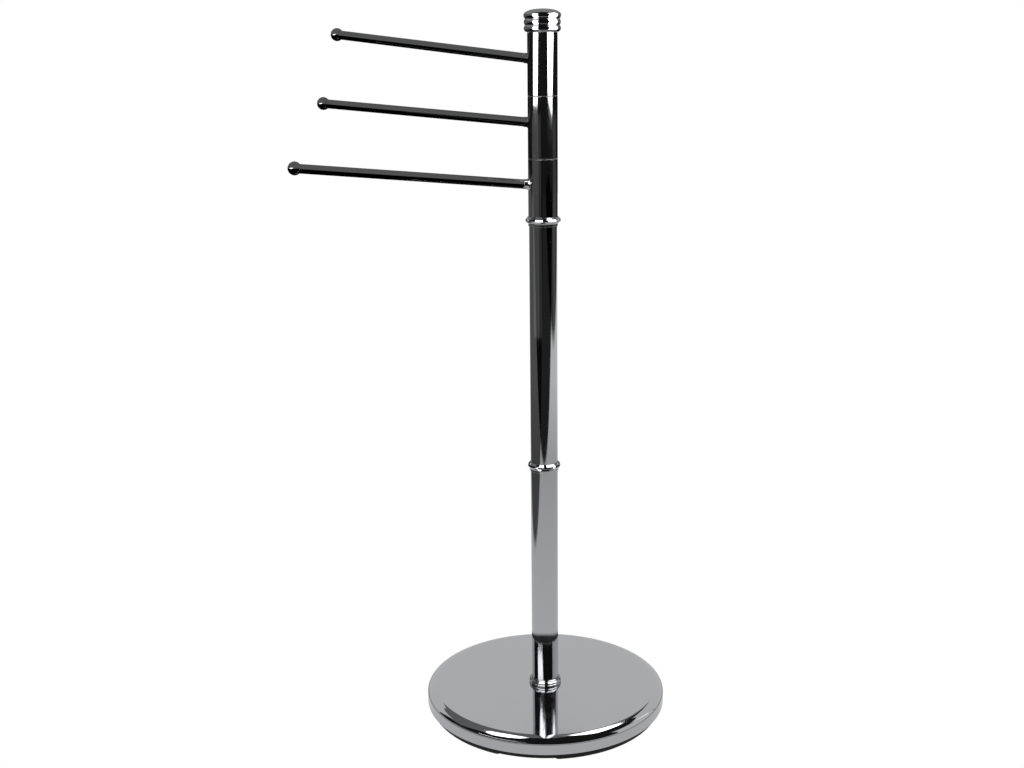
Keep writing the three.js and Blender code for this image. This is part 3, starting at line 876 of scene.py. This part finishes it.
# Curved screens of light round the pole: brightness, what is left out (EXCLUDE) or the only thing
# lit (INCLUDE), and rows from the lower to the upper edge: distance and height in metres, first
# and last bearing in degrees, counted from the camera's side and positive towards +X.
SCREENS = {
    "left_softbox": (SOFTBOX, "EXCLUDE", ARMS_SHINE + CAP + COVER + DISCS,
                     ((2.0, 0.655, -76, -40), (2.0, 0.70, -76, -39), (2.0, 0.82, -73, -33),
                      (2.0, 0.89, -66, -28), (2.0, 0.92, -57, -19), (2.0, 1.0, -55, -14))),
    "cover_left": (3.2, "INCLUDE", COVER, ((2.0, 0.925, -66, -26), (2.0, 1.02, -64, -16))),
    "left_high_softbox": (SOFTBOX, "EXCLUDE", NOT_POLE + COVER,
                          ((2.0, 1.115, -44, -30), (2.0, 1.17, -48, -2), (2.0, 1.7, -58, -2),
                           (1.4, 2.3, -58, -8), (0.6, 2.6, -58, -8))),
    "right_softbox": (SOFTBOX, "EXCLUDE", NOT_POLE + COVER,
                      ((2.0, 0.632, 74, 78), (2.0, 0.675, 40, 79),
                       (2.0, 0.82, 38, 92), (2.0, 0.87, 38, 94))),
    "right_high_softbox": (SOFTBOX, "EXCLUDE", NOT_POLE + COVER,
                           ((2.0, 1.15, 77, 97), (2.0, 1.25, 62, 100), (2.0, 1.7, 36, 105),
                            (1.4, 2.3, 30, 105), (0.6, 2.6, 30, 105))),
    "left_wall": (0.085, "EXCLUDE", NOT_POLE, ((2.2, 0.0, -90, -34), (2.2, 0.62, -90, -34))),
    "left_wall_edge": (0.04, "EXCLUDE", NOT_POLE, ((2.2, 0.0, -34, -12), (2.2, 0.62, -34, -16))),
    "right_wall": (0.05, "EXCLUDE", NOT_POLE, ((2.2, 0.0, 84, 120), (2.2, 0.62, 84, 120))),
    "back_wall": (0.68, "EXCLUDE", NOT_POLE,
                  ((2.3, 0.95, 110, 250), (2.3, 1.40, 110, 250))),
    "back_wall_left": (0.53, "INCLUDE", COVER, ((2.3, 1.40, 193, 250), (2.3, 1.75, 205, 250))),
    "back_wall_right": (0.68, "INCLUDE", COVER, ((2.3, 1.40, 110, 165), (2.3, 2.3, 110, 150))),
    "cover_right": (0.68, "INCLUDE", COVER, ((2.3, 0.02, 66, 116), (2.3, 2.0, 72, 116))),
    "cover_back": (0.68, "INCLUDE", COVER, ((2.3, 0.01, 118, 248), (2.3, 0.95, 116, 250))),
    "cap_left": (SOFTBOX, "INCLUDE", CAP, ((0.7, 0.02, -64, -27), (0.7, 1.35, -64, -27))),
    "cap_right": (SOFTBOX, "INCLUDE", CAP, ((0.7, 0.02, 43, 110), (0.7, 1.60, 43, 110))),
    "cap_front": (0.2, "INCLUDE", CAP, ((0.7, 0.02, -26, 39), (0.7, 0.35, -26, 39))),
}

# Domes of light about the pole: brightness, link as above, lowest and highest elevation, first
# and last bearing, all in degrees.
HOODS = {
    "arm_hood": (0.135, "INCLUDE", ARMS_SHINE + BALLS, 0, 88, -180, 180),
    "cap_hood": (0.30, "INCLUDE", CAP, 20, 88, 70, 290),
    "cap_sides": (0.12, "INCLUDE", CAP, -45, 20, 116, 294),
    "ceiling": (0.22, "EXCLUDE", NOT_POLE + COVER, 19.5, 74, 90, 270),
    "cover_ceiling": (0.15, "INCLUDE", COVER, 19.5, 74, 165, 270),
}
HOOD_RADIUS = 3.0
HOOD_CENTRE = 0.72

# Level softboxes above the rack that only the base's cover mirrors: outlines in metres.
PANEL_HEIGHT = 2.6
PANELS = {
    "panel_left": ((-0.28, 0.60), (-0.50, 1.25), (-0.85, 1.10), (-1.60, -0.10), (-1.60, -0.60),
                   (-1.00, -0.55), (-0.58, -0.25), (-0.40, 0.15)),
    "panel_right": ((0.25, 1.80), (0.30, 2.50), (0.36, 3.35), (0.55, 3.10), (0.95, 2.30), (1.20, 1.60),
                    (0.95, 0.70), (0.70, 0.85), (0.40, 1.20)),
}

CAMERA_DISTANCE = 1.5071
CAMERA_HEIGHT = 0.7851
CAMERA_TILT = 14.02
CAMERA_YAW = -1.419
CAMERA_ROLL = -0.598
CAMERA_LENS = 46.61


def stage_object(name, points, faces, material):
    """A mesh of the stage, in metres."""
    mesh = bpy.data.meshes.new(name)
    mesh.from_pydata(np.asarray(points).tolist(), [], faces)
    mesh.materials.append(material)
    made = bpy.data.objects.new(name, mesh)
    bpy.context.scene.collection.objects.link(made)
    made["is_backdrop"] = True
    return made


def glow(name, strength):
    """Emission of a given brightness on a clear sheet, so that what a screen doesn't light can
    still see past it."""
    material, tree, output, _ = new_material(name)
    if tree is None:
        return material
    light = add_node(tree, "ShaderNodeEmission", None, {"Strength": strength})
    clear = add_node(tree, "ShaderNodeBsdfTransparent")
    both = add_node(tree, "ShaderNodeAddShader", None, None,
                    {0: light.outputs["Emission"], 1: clear.outputs["BSDF"]})
    tree.links.new(both.outputs["Shader"], output.inputs["Surface"])
    return material


def floor_paper():
    """White paper: even white to look at. To the chrome it glows with painted light: bright close by,
    dimmer further off, brighter again beyond that, with a painted shadow in a ring just outside
    the base, and it ends in the dark room at its front, left and right edges."""
    material, tree, output, place = new_material("floor_paper")
    if tree is None:
        return material
    split = add_node(tree, "ShaderNodeSeparateXYZ", None, None, {"Vector": place})
    distance = add_node(tree, "ShaderNodeVectorMath", {"operation": "LENGTH"}, None, {0: place})
    # Painted light: to the chrome the paper glows brightest near the base, dimmest at FLOOR_TURN and brighter
    # again beyond.
    tone = ramp(tree, distance.outputs["Value"], 0.2, FLOOR_TURN, FLOOR_NEAR, FLOOR_FAR)
    beyond = ramp(tree, distance.outputs["Value"], FLOOR_TURN, 1.7, 1.0, 1.5)
    # Painted shadow: the paper glows dimmer in a ring just outside the base, in place of the shadow the base
    # casts.
    from_ring = add_node(tree, "ShaderNodeVectorMath", {"operation": "DISTANCE"},
                         {1: SHADOW_RING_CENTRE}, {0: place})
    inside = ramp(tree, from_ring.outputs["Value"], *SHADOW_RING_INSIDE, 1.0, SHADOW_RING_TONE)
    outside = ramp(tree, from_ring.outputs["Value"], *SHADOW_RING_OUTSIDE, 0.0, 1.0)
    painted_shadow = add_node(tree, "ShaderNodeMath", {"operation": "MAXIMUM"}, None, {0: inside, 1: outside})
    left = ramp(tree, split.outputs["X"], *FLOOR_LEFT, 0.15, 1.0)
    right = ramp(tree, split.outputs["X"], *FLOOR_RIGHT, 1.0, 0.05)
    front = ramp(tree, split.outputs["Y"], *FLOOR_FRONT, 0.03, 1.0)
    for edge in (beyond, left, right, front, painted_shadow.outputs["Value"]):
        tone = add_node(tree, "ShaderNodeMath", {"operation": "MULTIPLY"}, None,
                        {0: tone, 1: edge}).outputs["Value"]
    path = add_node(tree, "ShaderNodeLightPath")
    seen = add_node(tree, "ShaderNodeMix", {"data_type": "FLOAT"}, {"B": WHITE},
                    {"Factor": path.outputs["Is Camera Ray"], "A": tone})
    light = add_node(tree, "ShaderNodeEmission", None, None, {"Strength": seen.outputs["Result"]})
    tree.links.new(light.outputs["Emission"], output.inputs["Surface"])
    return material


def dark_room():
    """World: white behind the object to look at, nearly dark to everything else."""
    world = bpy.data.worlds.new("dark_room")
    world.use_nodes = True
    tree = world.node_tree
    tree.nodes.clear()
    path = add_node(tree, "ShaderNodeLightPath")
    seen = add_node(tree, "ShaderNodeMix", {"data_type": "FLOAT"}, {"A": ROOM_DARK, "B": WHITE},
                    {"Factor": path.outputs["Is Camera Ray"]})
    light = add_node(tree, "ShaderNodeBackground", None, {"Color": (1, 1, 1, 1)},
                     {"Strength": seen.outputs["Result"]})
    output = add_node(tree, "ShaderNodeOutputWorld")
    tree.links.new(light.outputs["Background"], output.inputs["Surface"])
    return world


def curved_screen(rows):
    """Upright curved strip: each row runs round the pole at one distance and height, from its
    first to its last bearing, counted from -Y and positive towards +X."""
    share = np.linspace(0, 1, 33)
    points = []
    for distance, height, first, last in rows:
        bearing = np.radians(first + (last - first) * share)
        points.append(np.stack([distance * np.sin(bearing), -distance * np.cos(bearing),
                                share * 0 + height], 1))
    n = len(share)
    faces = [(r * n + k, r * n + k + 1, (r + 1) * n + k + 1, (r + 1) * n + k)
             for r in range(len(rows) - 1) for k in range(n - 1)]
    return np.concatenate(points), faces


def hood(low, high, first, last):
    """Part of a sphere about the pole, between two elevations and two bearings in degrees."""
    level = np.radians(np.linspace(low, high, 25))[:, None]
    bearing = np.radians(np.linspace(first, last, 49))[None]
    points = HOOD_RADIUS * np.stack([np.cos(level) * np.sin(bearing), -np.cos(level) * np.cos(bearing),
                                     np.sin(level) + 0 * bearing], 2)
    points[..., 2] += HOOD_CENTRE
    m, n = points.shape[:2]
    faces = [(r * n + k, r * n + k + 1, (r + 1) * n + k + 1, (r + 1) * n + k)
             for r in range(m - 1) for k in range(n - 1)]
    return points.reshape(-1, 3), faces


def named(endings):
    """The finished pieces whose names end in one of the given ways."""
    return [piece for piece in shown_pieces() if piece.name.endswith(endings)]


def link_light(light, state, pieces):
    """Lets a light miss the given pieces (EXCLUDE) or reach nothing else (INCLUDE)."""
    group = bpy.data.collections.new(f"{light.name}_{state.lower()}")
    for piece in pieces:
        group.objects.link(piece)
    for entry in group.collection_objects:
        entry.light_linking.link_state = state
    light.light_linking.receiver_collection = group


class RACK_OT_stage(bpy.types.Operator):
    """Pale floor, soft screens of light round the rack, and the camera."""

    bl_idname = "rack.stage"
    bl_label = "Stage"

    def execute(self, context):
        scene = context.scene
        scene.world = dark_room()
        scene.view_settings.view_transform = "Standard"
        corners = [(x * FLOOR_HALF, y * FLOOR_HALF, 0) for x, y in ((-1, -1), (1, -1), (1, 1), (-1, 1))]
        floor = stage_object("floor", corners, [(0, 1, 2, 3)], floor_paper())
        link_light(floor, "EXCLUDE", named(NOT_POLE))
        shapes = [(name, strength, state, ends, curved_screen(rows))
                  for name, (strength, state, ends, rows) in SCREENS.items()]
        shapes += [(name, strength, state, ends, hood(*sweep))
                   for name, (strength, state, ends, *sweep) in HOODS.items()]
        shapes += [(name, SOFTBOX, "INCLUDE", COVER,
                    ([(x, y, PANEL_HEIGHT) for x, y in outline], [tuple(range(len(outline)))]))
                   for name, outline in PANELS.items()]
        for name, strength, state, ends, shape in shapes:
            screen = stage_object(name, *shape, glow(name, strength))
            screen.visible_camera = False
            link_light(screen, state, named(ends))
        self.set_camera(scene)
        return {"FINISHED"}

    def set_camera(self, scene):
        """Camera in front of the pole and above it, tilted down: forward, right and up vectors
        from yaw and tilt, then rolled about the line of sight."""
        yaw, tilt, roll = (math.radians(v) for v in (CAMERA_YAW, CAMERA_TILT, CAMERA_ROLL))
        forward = np.array([math.sin(yaw) * math.cos(tilt), math.cos(yaw) * math.cos(tilt), -math.sin(tilt)])
        right = np.array([math.cos(yaw), -math.sin(yaw), 0])
        up = np.cross(right, forward)
        across = right * math.cos(roll) + up * math.sin(roll)
        upright = up * math.cos(roll) - right * math.sin(roll)
        camera = bpy.data.objects.new("camera", bpy.data.cameras.new("camera"))
        camera.data.sensor_width = 36
        camera.data.lens = CAMERA_LENS
        camera.data.clip_start, camera.data.clip_end = 0.05, 50
        turn = Matrix(np.stack([across, upright, -forward], 1).tolist()).to_4x4()
        camera.matrix_world = Matrix.Translation((0, -CAMERA_DISTANCE, CAMERA_HEIGHT)) @ turn
        scene.collection.objects.link(camera)
        scene.camera = camera


# ------------------------------------------------------------------ add-on

BUILD_ORDER = (
    RACK_OT_inner_parts, RACK_OT_base_cover, RACK_OT_base_tray, RACK_OT_foot_pads, RACK_OT_foot_collar,
    RACK_OT_pole_tubes, RACK_OT_joint_rings, RACK_OT_seam_washers, RACK_OT_top_cap, RACK_OT_sleeves,
    RACK_OT_arm_roots, RACK_OT_arm_pipes, RACK_OT_ball_ends, RACK_OT_stage,
)


class RACK_PT_sidebar(bpy.types.Panel):
    """Sizes, finishes and build steps of the rack."""

    bl_idname = "RACK_PT_sidebar"
    bl_label = "Swivel-arm rack"
    bl_space_type = "VIEW_3D"
    bl_region_type = "UI"
    bl_category = "Rack"

    def draw(self, context):
        column = self.layout.column()
        for group in (context.scene.rack_sizes, context.scene.rack_finishes):
            for key in group.__annotations__:
                column.prop(group, key)
        for step in BUILD_ORDER:
            column.operator(step.bl_idname)


CLASSES = (RackSizes, RackFinishes, *BUILD_ORDER, RACK_PT_sidebar)


def register():
    for kind in CLASSES:
        bpy.utils.register_class(kind)
    bpy.types.Scene.rack_sizes = bpy.props.PointerProperty(type=RackSizes)
    bpy.types.Scene.rack_finishes = bpy.props.PointerProperty(type=RackFinishes)


def unregister():
    del bpy.types.Scene.rack_finishes
    del bpy.types.Scene.rack_sizes
    for kind in reversed(CLASSES):
        bpy.utils.unregister_class(kind)


def main():
    register()
    for step in BUILD_ORDER:
        group, name = step.bl_idname.split(".")
        getattr(getattr(bpy.ops, group), name)()


if __name__ == "__main__":
    main()
